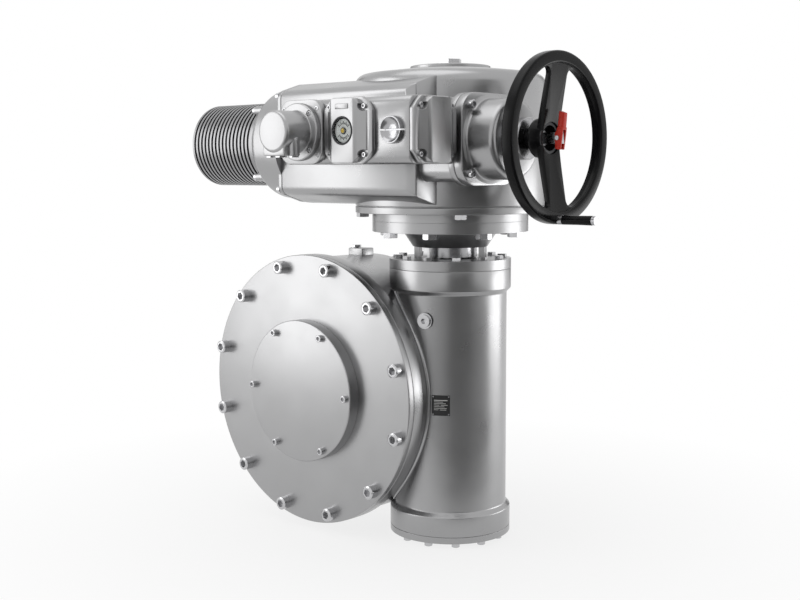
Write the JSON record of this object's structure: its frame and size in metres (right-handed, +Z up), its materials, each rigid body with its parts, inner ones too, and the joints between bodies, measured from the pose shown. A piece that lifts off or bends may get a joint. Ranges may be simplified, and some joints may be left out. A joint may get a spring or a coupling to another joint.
{
  "type": "electric valve actuator",
  "caption": "Multi-turn electric valve actuator with handwheel, motor and position window, standing on a worm gearbox with a flange for a part-turn valve.",
  "frame": {"origin": "centre of the valve flange's face, on the axis of the worm wheel", "axes": "+Y out of the valve flange towards the valve, +Z up along the worm column, +X towards the handwheel"},
  "size_m": [1.0846, 0.6905, 1.0745],
  "materials": {
    "cast": "satin silver-grey paint over a cast surface",
    "cast_fine": "satin silver-grey paint over a fine cast surface",
    "bright_steel": "zinc plated, satin",
    "machined": "turned, satin",
    "steel": "ground",
    "bronze": "machined",
    "seal_rubber": "matt",
    "black_gloss": "glossy black coating",
    "motor_paint": "satin grey paint",
    "red": "red coating",
    "plate_black": "satin black plate",
    "dark_ring": "satin dark grey",
    "window": "clear",
    "dial_white": "matt white",
    "winding": "varnished winding and laminations",
    "rotor_iron": "machined"
  },
  "bodies": {
    "housing": {"gear_housing": "cast", "front_cover": "cast", "front_cover_seal": "seal_rubber", "front_cover_screws": "bright_steel", "end_cap": "cast", "end_cap_screws": "bright_steel", "wheel_bushes": "bronze", "output_seal": "seal_rubber", "column_bottom_cover": "cast", "column_bottom_screws": "bright_steel", "column_top_bolts": "bright_steel", "worm_shaft_seal": "seal_rubber", "oil_plug": "bright_steel", "vent_plug": "bright_steel", "nameplate": "plate_black", "nameplate_rivets": "bright_steel", "mounting_yoke": "cast", "drive_flange_bolts": "bright_steel", "output_flange": "cast", "output_flange_bolts": "bright_steel", "actuator_housing": "cast", "top_plate": "cast_fine", "top_plug": "bright_steel", "bearing_outer_rings": "steel", "motor_bell": "cast", "motor_housing": "motor_paint", "motor_end_cover": "motor_paint", "motor_screws": "bright_steel", "stator": "winding", "bonnet": "cast", "bonnet_screws": "bright_steel", "bonnet_collar": "machined", "control_housing": "cast", "cable_plugs": "bright_steel", "display_cover": "cast_fine", "window_bezel": "dark_ring", "window_glass": "window", "end_cover": "cast_fine", "side_plug": "cast_fine", "plug_flange": "cast_fine", "plug_housing": "cast_fine", "control_screws": "bright_steel"},
    "output_drive": {"worm_wheel": "bronze", "drive_sleeve": "steel"},
    "worm_line": {"gearbox_worm": "steel", "worm_line_rings": "steel", "coupling_sleeve": "machined", "hollow_shaft": "steel", "drive_wheel": "bronze"},
    "motor_line": {"drive_worm_shaft": "steel", "rotor": "rotor_iron", "motor_line_rings": "steel"},
    "indicator": {"indicator_dial": "dial_white"},
    "hand_drive": {"handwheel": "black_gloss", "handwheel_shaft": "machined", "hub_ring": "machined", "crank_pin": "machined", "lever_pin": "machined"},
    "grip": {"crank_grip": "black_gloss"},
    "lever": {"changeover_lever": "red"}
  },
  "joints": [
    {"name": "worm_turn", "type": "hinge", "parent": "housing", "child": "worm_line", "pos_m": [0.264, -0.14, 0], "axis": [0, 0, 1], "range_deg": [0, 4590]},
    {"name": "output_turn", "type": "hinge", "parent": "housing", "child": "output_drive", "pos_m": [0, -0.14, 0], "axis": [0, 1, 0], "range_deg": [0, 90]},
    {"name": "motor_turn", "type": "hinge", "parent": "housing", "child": "motor_line", "pos_m": [0, -0.29, 0.563], "axis": [1, 0, 0], "range_deg": [-91800, 0]},
    {"name": "indicator_turn", "type": "hinge", "parent": "housing", "child": "indicator", "pos_m": [0.325, -0.53, 0.579], "axis": [0, 1, 0], "range_deg": [0, 180]},
    {"name": "handwheel_turn", "type": "hinge", "parent": "housing", "child": "hand_drive", "pos_m": [0.6485, -0.29, 0.563], "axis": [1, 0, 0], "continuous": true},
    {"name": "grip_turn", "type": "hinge", "parent": "hand_drive", "child": "grip", "pos_m": [0.6485, -0.29824, 0.40572], "axis": [1, 0, 0], "continuous": true},
    {"name": "lever_swing", "type": "hinge", "parent": "hand_drive", "child": "lever", "pos_m": [0.6545, -0.29, 0.563], "axis": [0, 1, 0], "range_deg": [0, 85]}
  ],
  "couplings": [
    {"joint": "output_turn", "follows": "worm_turn", "ratio": 0.019608},
    {"joint": "motor_turn", "follows": "worm_turn", "ratio": -20},
    {"joint": "indicator_turn", "follows": "worm_turn", "ratio": 0.039216}
  ]
}
